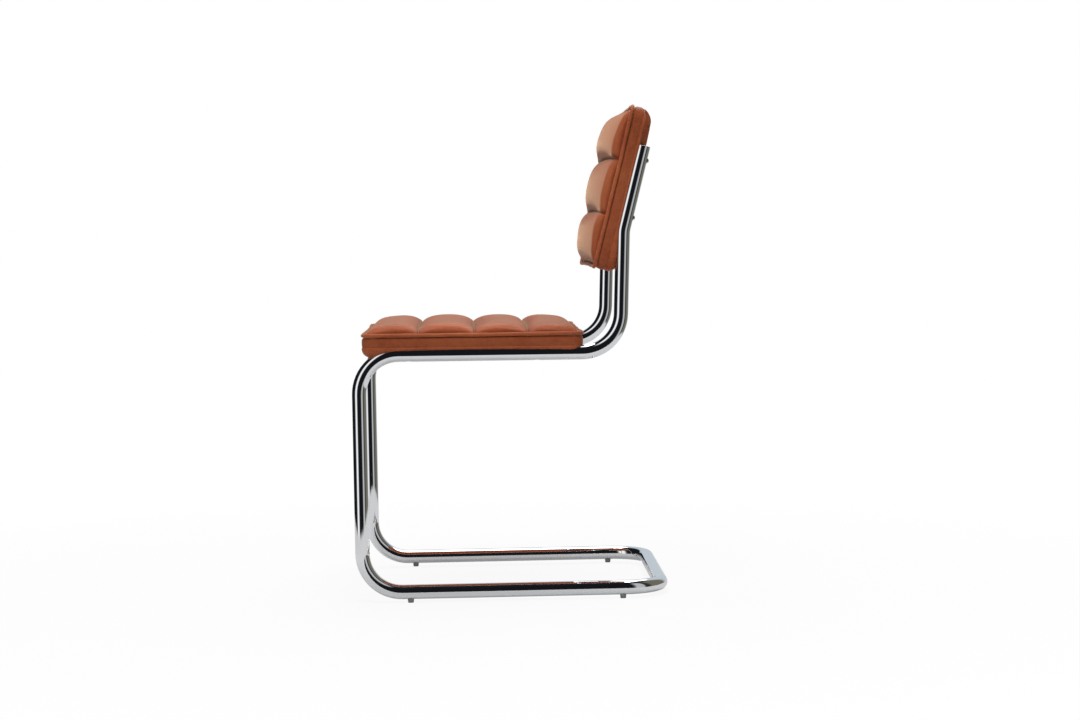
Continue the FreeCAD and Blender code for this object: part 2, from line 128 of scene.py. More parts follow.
# Sizes and colours that a user would change

class ChairPadSizes(bpy.types.PropertyGroup):
    """Measures that both pads share."""

    corner_radius: FloatProperty(
        name="Corner radius", default=0.020, unit="LENGTH",
        description="Radius of a pad's corners in plan")
    draw_in: FloatProperty(
        name="Draw-in", default=0.002, unit="LENGTH",
        description="How far a side pulls in between its corners")
    boxing_bulge: FloatProperty(
        name="Boxing bulge", default=0.0010, unit="LENGTH",
        description="How far the side strip swells between its seams")
    piping_diameter: FloatProperty(
        name="Piping diameter", default=0.0063, unit="LENGTH",
        description="Thickness of the leather-covered cord in the seam")
    piping_inset: FloatProperty(
        name="Piping inset", default=0.0005, unit="LENGTH",
        description="How far the piping's middle lies inside the pad's outline")
    under_depth: FloatProperty(
        name="Under depth", default=0.0145, unit="LENGTH",
        description="Depth of the cover behind the side strip's seam")
    edge_roll: FloatProperty(
        name="Edge roll", default=0.014, unit="LENGTH",
        description="Radius of the under cover's rolled edge")
    under_crown: FloatProperty(
        name="Under crown", default=0.003, unit="LENGTH",
        description="How far the middle of the under cover swells")
    crown_run: FloatProperty(
        name="Crown run", default=0.046, unit="LENGTH",
        description="How far inside the rolled edge the under cover's crown is reached")
    tube_place: FloatProperty(
        name="Tube place", default=0.225, unit="LENGTH",
        description="How far the tubes' middles lie from the chair's middle")
    seam_end: FloatProperty(
        name="Seam end", default=0.030, unit="LENGTH",
        description="How far from the sides a sewn valley begins to dip to the piping")
    groove: FloatProperty(
        name="Groove", default=0.005, unit="LENGTH",
        description="How far below the piping's middle the leather is sewn in")
    puff_power: FloatProperty(
        name="Puff power", default=2.5, min=2,
        description="How full the channels' sides are: 2 is an ellipse, more is fuller")
    edge_power: FloatProperty(
        name="Edge power", default=3.4, min=2,
        description="How full the pads' ends are: 2 is an ellipse, more is fuller")
    tuck: FloatProperty(
        name="Tuck", default=0.0018, unit="LENGTH",
        description="Depth of the sharp tuck at the bottom of a valley")
    # How far from a seam the leather is painted darker: painted shade for the sewn creases
    painted_seam_shade: FloatProperty(
        name="Seam shade", default=0.0035, unit="LENGTH",
        description="How far from a seam the leather is darker")
    seam_gap: FloatProperty(
        name="Seam gap", default=0.0019, unit="LENGTH",
        description="Gap between the piping and the channelled face")
    waver: FloatProperty(
        name="Waver", default=0.0006, unit="LENGTH",
        description="How far the piping strays from a true line")
    swell: FloatProperty(
        name="Swell", default=0.0012, unit="LENGTH",
        description="Farthest that the stuffing moves the leather of a face")
    fullness_cut: FloatProperty(
        name="Full cut", default=0.004, min=0, max=0.1, subtype="FACTOR",
        description="How much larger than its place the leather of a face is cut")
    skin: FloatProperty(
        name="Leather thickness", default=0.0012, unit="LENGTH",
        description="Thickness of the leather")
    nest_radius: FloatProperty(
        name="Nest radius", default=0.0128, unit="LENGTH",
        description="Radius of the grooves that lie on the tubes")


class ChairSeatSizes(bpy.types.PropertyGroup):
    """Measures of the seat pad."""

    seams: FloatVectorProperty(
        name="Seams", size=3, unit="LENGTH", default=(-0.0930, 0.0035, 0.0955),
        description="Where the valleys are sewn, from the pad's middle to the rear")
    crests: FloatVectorProperty(
        name="Crests", size=4, unit="LENGTH", default=(0.0232, 0.0246, 0.0233, 0.0214),
        description="Heights of the channels' crests above the piping")
    valley: FloatProperty(
        name="Valley", default=0.0020, unit="LENGTH",
        description="Height of the sewn valleys above the piping")
    end_shoulder: FloatProperty(
        name="End shoulder", default=0.0245, unit="LENGTH",
        description="Radius at a channel's ends, above the piping")
    seam_sag: FloatProperty(
        name="Seam sag", default=0.0, unit="LENGTH",
        description="How far a valley sags at its ends")
    end_round: FloatProperty(
        name="End round", default=0.0, unit="LENGTH",
        description="Radius between the side strip and the under cover at the pad's rear end")
    fall: FloatProperty(
        name="Fall", default=math.radians(0.2555), subtype="ANGLE",
        description="Fall of the seat towards the rear")
    bend_start: FloatProperty(
        name="Bend start", default=-0.191, unit="LENGTH",
        description="Where the rails begin to bend down under the seat's front")
    bend_radius: FloatProperty(
        name="Bend radius", default=0.0675, unit="LENGTH",
        description="Radius of the frame's bends on the tube's centre line")


class ChairBackSizes(bpy.types.PropertyGroup):
    """Measures of the back pad."""

    seams: FloatVectorProperty(
        name="Seams", size=2, unit="LENGTH", default=(-0.0460, 0.0505),
        description="Where the valleys are sewn, from the pad's middle upwards")
    crests: FloatVectorProperty(
        name="Crests", size=3, unit="LENGTH", default=(0.0283, 0.0325, 0.0325),
        description="Heights of the channels' crests above the piping")
    valley: FloatProperty(
        name="Valley", default=0.0065, unit="LENGTH",
        description="Height of the sewn valleys above the piping")
    end_shoulder: FloatProperty(
        name="End shoulder", default=0.0231, unit="LENGTH",
        description="Radius at a channel's ends, above the piping")
    seam_sag: FloatProperty(
        name="Seam sag", default=0.0045, unit="LENGTH",
        description="How far a valley sags at its ends")
    end_round: FloatProperty(
        name="End round", default=0.024, unit="LENGTH",
        description="Radius between the side strip and the rear cover at the pad's top")
    lean: FloatProperty(
        name="Lean", default=math.radians(14.5), subtype="ANGLE",
        description="Lean of the back from upright")
    lumbar: FloatProperty(
        name="Lumbar bend", default=0.0725, unit="LENGTH",
        description="How far above the pad's lower end the tubes bend")
    lumbar_turn: FloatProperty(
        name="Lumbar turn", default=math.radians(12.4), subtype="ANGLE",
        description="How far the tubes bend away below the back pad")


class ChairFinish(bpy.types.PropertyGroup):
    """Colours and gloss."""

    leather: FloatVectorProperty(
        name="Leather", subtype="COLOR", size=3, min=0, max=1, default=(0.395, 0.096, 0.037),
        description="Colour of the leather where it is lit plainly")
    leather_deep: FloatVectorProperty(
        name="Leather, deep", subtype="COLOR", size=3, min=0, max=1,
        default=(0.285, 0.060, 0.021),
        description="Darker tone of the leather's clouding and creases")
    leather_worn: FloatVectorProperty(
        name="Leather, burnished", subtype="COLOR", size=3, min=0, max=1,
        default=(0.470, 0.130, 0.050),
        description="Lighter tone where the leather is stretched and rubbed")
    leather_roughness: FloatProperty(
        name="Leather roughness", default=0.48, min=0, max=1, subtype="FACTOR",
        description="How matt the leather is")
    chrome: FloatVectorProperty(
        name="Chrome", subtype="COLOR", size=3, min=0, max=1, default=(0.86, 0.87, 0.88),
        description="Tint of the chrome plate")
    chrome_roughness: FloatProperty(
        name="Chrome roughness", default=0.035, min=0, max=1, subtype="FACTOR",
        description="How much the chrome blurs what it reflects")
    plastic: FloatVectorProperty(
        name="Glide plastic", subtype="COLOR", size=3, min=0, max=1, default=(0.30, 0.30, 0.30),
        description="Colour of the floor glides")


class ChairStage(bpy.types.PropertyGroup):
    """Camera, floor and light."""

    camera_place: FloatVectorProperty(
        name="Camera place", subtype="XYZ", size=3, default=(4.3711, -0.0750, 0.6399),
        description="Where the camera stands")
    camera_yaw: FloatProperty(
        name="Camera yaw", default=0.030653, subtype="ANGLE",
        description="Turn of the camera from straight across the chair")
    camera_pitch: FloatProperty(
        name="Camera pitch", default=0.0545, subtype="ANGLE",
        description="How far the camera looks down")
    camera_roll: FloatProperty(
        name="Camera roll", default=-0.016817, subtype="ANGLE",
        description="Tilt of the camera about its own line of sight")
    lens: FloatProperty(
        name="Lens", default=80.76, description="Focal length on a sensor 36 mm wide")
    floor_size: FloatProperty(
        name="Floor size", default=30.0, unit="LENGTH",
        description="Length of the floor's sides")
    lit_floor: FloatProperty(
        name="Lit floor", default=1.20, unit="LENGTH",
        description="How far from the chair the studio floor is lit")
    overhead: FloatProperty(
        name="Overhead lamp", default=32.0, min=0, description="Power of the overhead soft lamp")
    side: FloatProperty(
        name="Side lamp", default=36.0, min=0,
        description="Power of the soft lamp beside the camera")
    fill: FloatProperty(
        name="Fill", default=0.38, min=0, description="Level of the light from all round")


GROUPS = (
    ("chair_pads", ChairPadSizes),
    ("chair_seat", ChairSeatSizes),
    ("chair_back", ChairBackSizes),
    ("chair_finish", ChairFinish),
    ("chair_stage", ChairStage),
)


# Shapes. A pad's own frame has X across the chair, Y along the pad and Z towards
# the sitter, with Z = 0 on the tubes' centre lines. Lengths there are millimetres.

def to_mm(group):
    """The sizes of a property group, with lengths in millimetres."""
    sizes = {}
    for key in group.bl_rna.properties.keys():
        if key in ("rna_type", "name"):
            continue
        value = getattr(group, key)
        if group.bl_rna.properties[key].unit == "LENGTH":
            vector = hasattr(value, "__len__")
            value = [one / MM for one in value] if vector else value / MM
        sizes[key] = value
    return SimpleNamespace(**sizes)


def pad_measures(name, tilt, own, shared):
    """Place and plan of a pad, from its side strip in the frame."""
    low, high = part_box(name + "_boxing")
    middle = (low + high) / 2
    size = (high - low) / MM
    turn = Matrix.Rotation(tilt, 4, "X")
    cos, sin = math.cos(tilt), abs(math.sin(tilt))
    if cos > sin:
        length = (size.y * cos - size.z * sin) / (cos * cos - sin * sin)
        height = (size.z - length * sin) / cos
    else:
        length = (size.z * sin - size.y * cos) / (sin * sin - cos * cos)
        height = (size.y - length * cos) / sin
    return SimpleNamespace(
        name=name, half_x=size.x / 2, half_y=length / 2, boxing_height=height,
        turn=turn, middle=middle, **vars(shared), **vars(own))


def seat_pad():
    """Measures of the seat pad."""
    scene = bpy.context.scene
    own = to_mm(scene.chair_seat)
    return place_pad(pad_measures("seat", -own.fall, own, to_mm(scene.chair_pads)))


def back_pad():
    """Measures of the back pad."""
    scene = bpy.context.scene
    own = to_mm(scene.chair_back)
    return place_pad(pad_measures("back", math.pi / 2 - own.lean, own, to_mm(scene.chair_pads)))


def place_pad(pad):
    """Adds the levels across a pad and its place in the row's frame."""
    pad.seam_level = TUBE_RADIUS - SEAM_DROP
    pad.piping_radius = pad.piping_diameter / 2
    pad.piping_level = pad.seam_level + pad.boxing_height + pad.piping_radius
    pad.under_level = pad.seam_level - pad.under_depth
    pad.cover_inset = pad.piping_inset + pad.piping_radius + pad.seam_gap
    strip_middle = Vector((0, 0, (pad.seam_level + pad.boxing_height / 2) * MM))
    origin = pad.middle - pad.turn.to_3x3() @ strip_middle
    pad.place = Matrix.Translation(origin) @ pad.turn
    return pad


def pads():
    """Both pads."""
    return (seat_pad(), back_pad())


def crowded(even, evenness):
    """A place between -1 and 1, moved towards the nearer end."""
    return evenness * even + (1 - evenness) * math.sin(even * math.pi / 2)


def ring(pad, inset, level):
    """Points round a pad at one inset and level. Every ring has as many points,
    closer together towards the corners."""
    half_x, half_y = pad.half_x - inset, pad.half_y - inset
    radius = max(pad.corner_radius - inset, pad.corner_radius / 4)
    points = []
    for quarter in range(4):
        sign_x = 1 if quarter in (0, 3) else -1
        sign_y = 1 if quarter < 2 else -1
        centre = (sign_x * (half_x - radius), sign_y * (half_y - radius))
        for step in range(ARC_STEPS + 1):
            angle = math.pi / 2 * (quarter + step / ARC_STEPS)
            points.append((centre[0] + radius * math.cos(angle),
                           centre[1] + radius * math.sin(angle)))
        along_x = quarter % 2 == 0
        run = (half_x if along_x else half_y) - radius
        for step in range(1, SIDE_STEPS):
            t = crowded(2 * step / SIDE_STEPS - 1, SIDE_EVEN)
            draw = pad.draw_in * (1 - t * t)
            if along_x:
                points.append((-sign_x * t * run, sign_y * (half_y - draw)))
            else:
                points.append((sign_x * (half_x - draw), -sign_y * t * run))
    return [Vector((x, y, level)) for x, y in points]


def arch_height(u, run, rise, shoulder):
    """Height of a half arch at a distance u from its crest: a wide crown that
    turns down into a small shoulder."""
    shoulder = min(shoulder, SHOULDER_SHARE * rise)
    crown = (run ** 2 + rise ** 2 - 2 * run * shoulder) / (2 * (rise - shoulder))
    angle = math.atan2(crown - rise, run - shoulder)
    if u <= run - shoulder + shoulder * math.cos(angle):
        return rise - crown + math.sqrt(max(crown ** 2 - u ** 2, 0))
    return math.sqrt(max(shoulder ** 2 - (u - run + shoulder) ** 2, 0))


def face_reach(pad, x):
    """Half the length of the channelled face at one place x."""
    radius = pad.corner_radius - pad.cover_inset
    past = max(radius - (pad.half_x - pad.cover_inset - abs(x)), 0)
    rounding = radius - math.sqrt(max(radius ** 2 - past ** 2, 0))
    draw = pad.draw_in * (1 - (x / pad.half_x) ** 2)
    return pad.half_y - pad.cover_inset - draw - rounding


def face_row(pad, x):
    """One section of the channelled face, across its channels."""
    half_width = pad.half_x - pad.cover_inset
    highest = max(pad.crests) + pad.groove
    fullness = arch_height(abs(x), half_width, highest, pad.end_shoulder) / highest
    past = max(abs(x) - (half_width - pad.seam_end), 0)
    dip = arch_height(past, pad.seam_end, pad.seam_end, pad.seam_end / 2) / pad.seam_end
    half = face_reach(pad, x)
    foot = pad.piping_level - pad.groove
    valley = foot + (pad.valley + pad.groove) * dip
    sag = pad.seam_sag * (x / half_width) ** SAG_POWER
    seams = [(-half, foot)] + [(place - sag, valley) for place in pad.seams] + [(half, foot)]
    row = [Vector((x, -half, foot))]
    for i, (start, end) in enumerate(zip(seams, seams[1:])):
        first_channel, last_channel = i == 0, i == len(pad.crests) - 1
        crest = foot + (pad.crests[i] + pad.groove) * fullness
        rise = max(crest - (start[1] + end[1]) / 2, LEAST_RISE)
        share = END_CREST if first_channel else 1 - END_CREST if last_channel else 0.5
        length = end[0] - start[0]
        for step in range(1, CHANNEL_STEPS + 1):
            t = (1 + crowded(2 * step / CHANNEL_STEPS - 1, CHANNEL_EVEN)) / 2
            u = t - share
            run = (share if u < 0 else 1 - share) * length
            outer = (first_channel and u < 0) or (last_channel and u > 0)
            power = pad.edge_power if outer else pad.puff_power
            height = rise * math.sqrt(max(1 - (abs(u) * length / run) ** power, 0))
            base = start[1] + (end[1] - start[1]) * t
            row.append(Vector((x, start[0] + length * t, base + height)))
        if not last_channel:
            row[-1].z -= pad.tuck * dip
    return row


def face_rows(pad):
    """The sections of the channelled face, closer together at its ends."""
    half_width = pad.half_x - pad.cover_inset
    return [face_row(pad, half_width * crowded(2 * i / FACE_SECTIONS - 1, FACE_EVEN))
            for i in range(FACE_SECTIONS + 1)]


def quad_mesh(name, rows, place, closed=False):
    """A mesh through rows of points, in metres in the row's frame."""
    count = len(rows[0])
    points = [place @ (point * MM) for row in rows for point in row]
    faces = []
    for i in range(len(rows) - 1):
        for j in range(count if closed else count - 1):
            k = (j + 1) % count
            faces.append((i * count + j, i * count + k, (i + 1) * count + k, (i + 1) * count + j))
    mesh = bpy.data.meshes.new(name)
    mesh.from_pydata(points, [], faces)
    welded = bmesh.new()
    welded.from_mesh(mesh)
    bmesh.ops.remove_doubles(welded, verts=welded.verts, dist=1e-6)
    welded.to_mesh(mesh)
    welded.free()
    mesh.validate()
    mesh.polygons.foreach_set("use_smooth", [True] * len(mesh.polygons))
    piece = bpy.data.objects.new(name, mesh)
    bpy.context.scene.collection.objects.link(piece)
    return piece


def paint_seam_shade(piece, pad, rows):
    """Marks how near each point of a face is to a seam, for painted shade: the leather's colour is
    darkened there, as the shade in a sewn crease would darken it.
    """
    marks = piece.data.attributes.new("painted_seam_shade", "FLOAT", "POINT")
    half_x = pad.half_x - pad.cover_inset
    values = []
    for row in rows:
        for point in row:
            reach = [abs(point.y - place) for place in pad.seams]
            reach += [half_x - abs(point.x), face_reach(pad, point.x) - abs(point.y)]
            values.append(math.exp(-(max(min(reach), 0) / pad.painted_seam_shade) ** 2))
    marks.data.foreach_set("value", values)


def apply_modifiers(piece):
    """Turns a piece's modifiers into mesh."""
    graph = bpy.context.evaluated_depsgraph_get()
    made = bpy.data.meshes.new_from_object(piece.evaluated_get(graph))
    piece.modifiers.clear()
    old = piece.data
    piece.data = made
    made.name = piece.name
    bpy.data.meshes.remove(old)


def thicken(piece, thickness):
    """Gives a leather skin its thickness, towards the inside of the pad."""
    solid = piece.modifiers.new("thickness", "SOLIDIFY")
    solid.thickness = thickness * MM
    solid.offset = -1.0
    apply_modifiers(piece)


def stuff(piece, pad, held):
    """Swells a face like leather over stuffing, held at its seams. The leather is
    cut a little full, so it puckers along them."""
    rest = [vertex.co.copy() for vertex in piece.data.vertices]
    sewn = piece.vertex_groups.new(name="sewn")
    sewn.add(held, 1.0, "REPLACE")
    cloth = piece.modifiers.new("stuffing", "CLOTH")
    settings = cloth.settings
    for key, value in CLOTH.items():
        setattr(settings, key, value)
    settings.shrink_min = -pad.fullness_cut
    settings.use_pressure = True
    settings.uniform_pressure_force = STUFFING_PRESSURE
    settings.vertex_group_mass = "sewn"
    settings.effector_weights.gravity = 0
    cloth.point_cache.frame_start = 1
    cloth.point_cache.frame_end = STUFFING_FRAMES
    for frame_number in range(1, STUFFING_FRAMES + 1):
        bpy.context.scene.frame_set(frame_number)
    apply_modifiers(piece)
    most = pad.swell * MM
    for vertex, start in zip(piece.data.vertices, rest):
        move = vertex.co - start
        if move.length > 1e-9:
            vertex.co = start + move * (most * math.tanh(move.length / most) / move.length)
    bpy.context.scene.frame_set(1)
    piece.vertex_groups.clear()


def settle(piece, slot, finish, *nodes):
    """Hands a finished piece to the frame."""
    piece.data.materials.clear()
    piece.data.materials.append(finish)
    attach(piece, BODY)
    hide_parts(*nodes)


def tube_level(pad, along):
    """Level of the tubes' centre lines at a place along a pad."""
    if pad.name == "seat":
        start = pad.bend_start - pad.place.translation.y / MM
        past = start - along
        if past <= 0:
            return 0.0
        past = min(past, pad.bend_radius)
        return -(pad.bend_radius - math.sqrt(pad.bend_radius ** 2 - past ** 2))
    return -max(pad.lumbar - pad.half_y - along, 0) * math.tan(pad.lumbar_turn)


def round_end(pad, rows):
    """Rounds a pad's far end towards its rear, over the strip and the under cover."""
    if pad.end_round == 0:
        return
    for row in rows:
        for point in row:
            above = max(point.z - pad.under_level, 0)
            past = pad.end_round - above
            if point.y > 0 and past > 0:
                full = pad.end_round - math.sqrt(pad.end_round ** 2 - past ** 2)
                own = max(pad.edge_roll - above, 0)
                rolled = pad.edge_roll - math.sqrt(pad.edge_roll ** 2 - own ** 2)
                point.y *= 1 - max(full - rolled, 0) / pad.half_y


def waver(pad, point):
    """How far the piping strays at one place: a slow wave, and a pull where a
    valley is sewn in."""
    wave = noise.noise(Vector((point.x, point.y, 0)) / WAVE_LENGTH)
    pull = sum(math.exp(-((point.y - place) / PULL_LENGTH) ** 2) for place in pad.seams)
    on_side = abs(point.x) > pad.half_x - pad.corner_radius
    return pad.waver * (WAVE_SHARE * wave - (PULL_SHARE * pull if on_side else 0))


# Materials

def new_material(name):
    """A material with an empty node tree, and its output."""
    material = bpy.data.materials.get(name) or bpy.data.materials.new(name)
    material.use_nodes = True
    material.node_tree.nodes.clear()
    output = material.node_tree.nodes.new("ShaderNodeOutputMaterial")
    return material, material.node_tree, output


def node(tree, kind, links=None, values=None, **settings):
    """Adds a node with its settings, its values and what feeds it."""
    made = tree.nodes.new("ShaderNode" + kind)
    for key, value in settings.items():
        setattr(made, key, value)
    for key, value in (values or {}).items():
        made.inputs[key].default_value = value
    for key, socket in (links or {}).items():
        tree.links.new(socket, made.inputs[key])
    return made


def math_node(tree, operation, first, second):
    """A sum or the like of two sockets or numbers."""
    made = tree.nodes.new("ShaderNodeMath")
    made.operation = operation
    for slot_index, value in enumerate((first, second)):
        if isinstance(value, (int, float)):
            made.inputs[slot_index].default_value = value
        else:
            tree.links.new(value, made.inputs[slot_index])
    return made.outputs[0]


def multiply(tree, first, second, share=1.0):
    """One colour multiplied by another, by a share."""
    made = node(tree, "Mix", data_type="RGBA", blend_type="MULTIPLY")
    tree.links.new(first, made.inputs["A"])
    tree.links.new(second, made.inputs["B"])
    made.inputs["Factor"].default_value = share
    return made.outputs["Result"]


def ramp(tree, source, stops):
    """A colour ramp over a socket. Stops are pairs of place and colour or grey."""
    made = tree.nodes.new("ShaderNodeValToRGB")
    elements = made.color_ramp.elements
    while len(elements) < len(stops):
        elements.new(0.5)
    for element, (place, colour) in zip(elements, stops):
        if isinstance(colour, (int, float)):
            colour = (colour, colour, colour)
        element.position = place
        element.color = (*colour, 1)
    tree.links.new(source, made.inputs[0])
    return made.outputs[0]


def leather_material(name, wrinkle_scale, wrinkle_strength, shade=1.0, stretch=(1, 1, 1)):
    """Cognac leather: clouded colour, pebbled grain and soft pull lines, with painted shade: shade
    darkens the whole piece's colour, and a seam mask darkens it next to the seams.
    """
    finish = bpy.context.scene.chair_finish
    material, tree, output = new_material(name)
    place = node(tree, "TexCoord").outputs["Object"]
    clouds = node(tree, "TexNoise", {"Vector": place},
                  {"Scale": 9.0, "Detail": 4.0, "Roughness": 0.55}).outputs["Fac"]
    mottle = node(tree, "TexNoise", {"Vector": place},
                  {"Scale": 160.0, "Detail": 5.0, "Roughness": 0.6}).outputs["Fac"]
    pebbles = node(tree, "TexVoronoi", {"Vector": place}, {"Scale": 950.0, "Randomness": 0.9},
                   feature="DISTANCE_TO_EDGE").outputs["Distance"]
    along = node(tree, "Mapping", {"Vector": place}, {"Scale": stretch}).outputs[0]
    pulls = node(tree, "TexNoise", {"Vector": along},
                 {"Scale": wrinkle_scale, "Detail": 3.0, "Roughness": 0.5,
                  "Distortion": 0.4}).outputs["Fac"]
    tone = math_node(tree, "ADD", math_node(tree, "MULTIPLY", clouds, 0.5),
                     math_node(tree, "ADD", math_node(tree, "MULTIPLY", mottle, 0.3),
                               math_node(tree, "MULTIPLY", pulls, 0.2)))
    # shade scales the leather's colours down: painted shade for a whole piece that the lamps light
    # less
    tones = [tuple(shade * c for c in tone_colour)
             for tone_colour in (finish.leather_deep, finish.leather, finish.leather_worn)]
    colour = ramp(tree, tone, list(zip((0.36, 0.5, 0.68), tones)))
    grain = ramp(tree, pebbles, [(0.0, 0.0), (0.12, 0.8), (0.4, 1.0)])
    pitted = multiply(tree, colour, ramp(tree, pebbles, [(0.0, 0.72), (0.16, 1.0)]), 0.6)
    # Painted shade: the colour is darkened next to a seam, as the shade of a sewn crease would
    # darken it
    near_seam = node(tree, "Attribute", attribute_name="painted_seam_shade").outputs["Fac"]
    seam_shaded_colour = multiply(tree, pitted, ramp(tree, near_seam, [(0.0, 1.0), (1.0, PAINTED_SEAM_SHADE)]))
    rough = ramp(tree, mottle, [(0.3, finish.leather_roughness - 0.05),
                                (0.7, finish.leather_roughness + 0.08)])
    fine = node(tree, "Bump", {"Height": grain}, {"Strength": 0.12, "Distance": 0.0002})
    broad = node(tree, "Bump", {"Height": pulls, "Normal": fine.outputs[0]},
                 {"Strength": wrinkle_strength, "Distance": 0.002})
    shader = node(tree, "BsdfPrincipled",
                  {"Base Color": seam_shaded_colour, "Roughness": rough, "Normal": broad.outputs[0]},
                  {"Specular IOR Level": 0.2, "Specular Tint": (1, 0.80, 0.62, 1),
                   "Sheen Weight": 0.6, "Sheen Roughness": 0.3,
                   "Sheen Tint": (1, 0.70, 0.44, 1)})
    tree.links.new(shader.outputs[0], output.inputs[0])
    return material


def chrome_material(name, roughness):
    """Polished chrome with faint polishing haze."""
    finish = bpy.context.scene.chair_finish
    material, tree, output = new_material(name)
    place = node(tree, "TexCoord").outputs["Object"]
    haze = node(tree, "TexNoise", {"Vector": place},
                {"Scale": 30.0, "Detail": 5.0, "Roughness": 0.7}).outputs["Fac"]
    rough = ramp(tree, haze, [(0.3, roughness * 0.6), (0.75, roughness * 1.5)])
    tint = ramp(tree, haze, [(0.2, tuple(c * 0.97 for c in finish.chrome)), (0.8, finish.chrome)])
    shader = node(tree, "BsdfPrincipled", {"Base Color": tint, "Roughness": rough},
                  {"Metallic": 1.0})
    tree.links.new(shader.outputs[0], output.inputs[0])
    return material


def plain_material(name, tones, scale, roughness, metallic=0.0, bump=0.1, stretch=(1, 1, 1)):
    """A surface that mixes a light and a dark tone, with a fine bump."""
    light, dark = tones
    material, tree, output = new_material(name)
    place = node(tree, "TexCoord").outputs["Object"]
    stretched = node(tree, "Mapping", {"Vector": place}, {"Scale": stretch}).outputs[0]
    grain = node(tree, "TexNoise", {"Vector": stretched},
                 {"Scale": scale, "Detail": 5.0, "Roughness": 0.6}).outputs["Fac"]
    colour = ramp(tree, grain, [(0.35, dark), (0.65, light)])
    rough = ramp(tree, grain, [(0.3, max(roughness - 0.06, 0.02)), (0.7, roughness + 0.06)])
    uneven = node(tree, "Bump", {"Height": grain}, {"Strength": bump, "Distance": 0.0003})
    shader = node(tree, "BsdfPrincipled",
                  {"Base Color": colour, "Roughness": rough, "Normal": uneven.outputs[0]},
                  {"Metallic": metallic})
    tree.links.new(shader.outputs[0], output.inputs[0])
    return material


def dress(names, finish):
    """Gives CAD nodes a finish."""
    for name in names:
        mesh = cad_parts[name].data
        mesh.materials.clear()
        mesh.materials.append(finish)
        mesh.polygons.foreach_set("material_index", [0] * len(mesh.polygons))


# Operators

class ChairOperator:
    """What every operator here shares."""

    bl_options = {"REGISTER", "UNDO"}


class CHAIR_OT_tubes(ChairOperator, bpy.types.Operator):
    """Plate the bent tubes, their caps and the joint sleeve"""

    bl_idname = "chair.tubes"
    bl_label = "Tubes and Caps"

    def execute(self, context):
        finish = context.scene.chair_finish
        chrome = chrome_material("chrome_plate", finish.chrome_roughness)
        dress(["frame_tube_" + side for side in SIDES], chrome)
        cap = chrome_material("cap_plate", finish.chrome_roughness * 2)
        dress(["tube_cap_" + side for side in SIDES], cap)
        steel = plain_material("zinc_plate", ZINC, 400.0, 0.42, metallic=1.0)
        dress(["frame_joint_sleeve"], steel)
        return {"FINISHED"}


class CHAIR_OT_fasteners(ChairOperator, bpy.types.Operator):
    """Finish the screws and threaded inserts"""

    bl_idname = "chair.fasteners"
    bl_label = "Screws and Inserts"

    def execute(self, context):
        finish = context.scene.chair_finish
        dress(["back_screws"], chrome_material("screw_plate", finish.chrome_roughness * 3))
        steel = plain_material("insert_zinc", YELLOW_ZINC, 500.0, 0.45, metallic=1.0)
        dress(["seat_screws", "seat_threaded_inserts", "back_threaded_inserts"], steel)
        return {"FINISHED"}


class CHAIR_OT_glides(ChairOperator, bpy.types.Operator):
    """Finish the floor glides"""

    bl_idname = "chair.glides"
    bl_label = "Floor Glides"

    def execute(self, context):
        grey = tuple(context.scene.chair_finish.plastic)
        darker = tuple(c * 0.8 for c in grey)
        plastic = plain_material("glide_plastic", (grey, darker), 900.0, 0.5)
        dress([f"glide_{end}_{side}" for end in ("front", "rear") for side in SIDES], plastic)
        return {"FINISHED"}


class CHAIR_OT_boards(ChairOperator, bpy.types.Operator):
    """Finish the plywood boards inside the pads"""

    bl_idname = "chair.boards"
    bl_label = "Boards"

    def execute(self, context):
        plywood = plain_material("birch_plywood", BIRCH, 60.0, 0.6, bump=0.3,
                                 stretch=(0.15, 2.0, 2.0))
        dress([pad.name + "_board" for pad in pads()], plywood)
        return {"FINISHED"}


class CHAIR_OT_faces(ChairOperator, bpy.types.Operator):
    """Upholster the channelled faces of both pads"""

    bl_idname = "chair.faces"
    bl_label = "Channelled Faces"

    def execute(self, context):
        finish = leather_material("cognac_leather_face", 230.0, 0.10, stretch=(1, 0.1, 0.1))
        for pad in pads():
            rows = face_rows(pad)
            piece = quad_mesh(pad.name + "_face", rows, pad.place)
            paint_seam_shade(piece, pad, rows)
            across = len(rows[0])
            seams = range(0, across, (across - 1) // len(pad.crests))
            held = [i * across + j for i in range(len(rows)) for j in seams]
            held += range(across)
            held += range((len(rows) - 1) * across, len(rows) * across)
            stuff(piece, pad, held)
            piece.modifiers.new("smooth", "SUBSURF").levels = 1
            apply_modifiers(piece)
            thicken(piece, pad.skin)
            cover = {"seat": "seat_top_cover", "back": "back_front_cover"}[pad.name]
            settle(piece, "cognac_leather", finish, cover, pad.name + "_foam")
        return {"FINISHED"}


class CHAIR_OT_piping(ChairOperator, bpy.types.Operator):
    """Run the leather piping round both pads"""

    bl_idname = "chair.piping"
    bl_label = "Piping"

    def execute(self, context):
        finish = leather_material("piping_leather", 60.0, 0.35)
        for pad in pads():
            path = ring(pad, pad.piping_inset, pad.piping_level)
            rows = []
            for step in range(PIPING_STEPS + 1):
                turn = 2 * math.pi * step / PIPING_STEPS
                row = []
                for i, point in enumerate(path):
                    ahead = path[(i + 1) % len(path)] - path[i - 1]
                    out = Vector((ahead.y, -ahead.x, 0)).normalized()
                    uneven = UNEVEN_SHARE * noise.noise(point / UNEVEN_LENGTH)
                    radius = pad.piping_radius * (1 + uneven)
                    stray = waver(pad, point)
                    middle = point + Vector((0, 0, stray)) + out * stray
                    spoke = out * math.cos(turn) + Vector((0, 0, math.sin(turn)))
                    row.append(middle + spoke * radius)
                rows.append(row)
            piece = quad_mesh(pad.name + "_piping_cord", rows, pad.place, closed=True)
            settle(piece, "piping_leather", finish, pad.name + "_piping")
        return {"FINISHED"}


